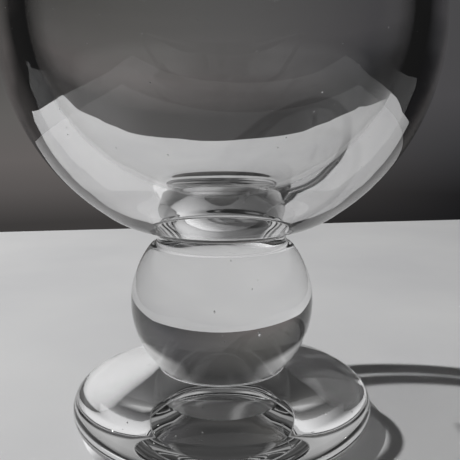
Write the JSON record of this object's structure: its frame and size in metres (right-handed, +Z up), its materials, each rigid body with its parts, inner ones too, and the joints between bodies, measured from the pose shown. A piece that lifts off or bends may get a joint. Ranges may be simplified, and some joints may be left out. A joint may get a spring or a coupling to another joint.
{
  "type": "radiometer",
  "caption": "Light mill: a sealed glass bulb on a solid glass knop and foot, whose wheel of vanes spins on a needle when light falls on it.",
  "frame": {"origin": "middle of the ring that the foot rests on, at the table", "axes": "+Z up along the glass's axis, which is also the vane wheel's; +X along the stirrup's cross rod; the front is seen along +Y"},
  "size_m": [0.08, 0.08, 0.124],
  "materials": {
    "clear_glass": "clear, fire-polished",
    "needle_steel": "polished steel",
    "hub_aluminium": "turned aluminium",
    "arm_wire": "drawn wire",
    "bright_foil": "bright rolled foil",
    "lampblack": "matt soot coat"
  },
  "bodies": {
    "stand": {"foot": "clear_glass", "ball_knop": "clear_glass", "neck_collar": "clear_glass", "bulb": "clear_glass", "seal_tip": "clear_glass", "crown_boss": "clear_glass", "guard_tube": "clear_glass", "stirrup": "clear_glass", "needle_holder": "clear_glass", "needle": "needle_steel"},
    "vane_wheel": {"rotor_cup": "clear_glass", "rotor_hub": "hub_aluminium", "arm_1": "arm_wire", "arm_2": "arm_wire", "arm_3": "arm_wire", "arm_4": "arm_wire", "vane_1": "bright_foil", "vane_2": "bright_foil", "vane_3": "bright_foil", "vane_4": "bright_foil", "vane_black_1": "lampblack", "vane_black_2": "lampblack", "vane_black_3": "lampblack", "vane_black_4": "lampblack"}
  },
  "joints": [
    {"name": "wheel_spin", "type": "hinge", "parent": "stand", "child": "vane_wheel", "pos_m": [0, 0, 0.0955], "axis": [0, 0, 1], "continuous": true}
  ]
}
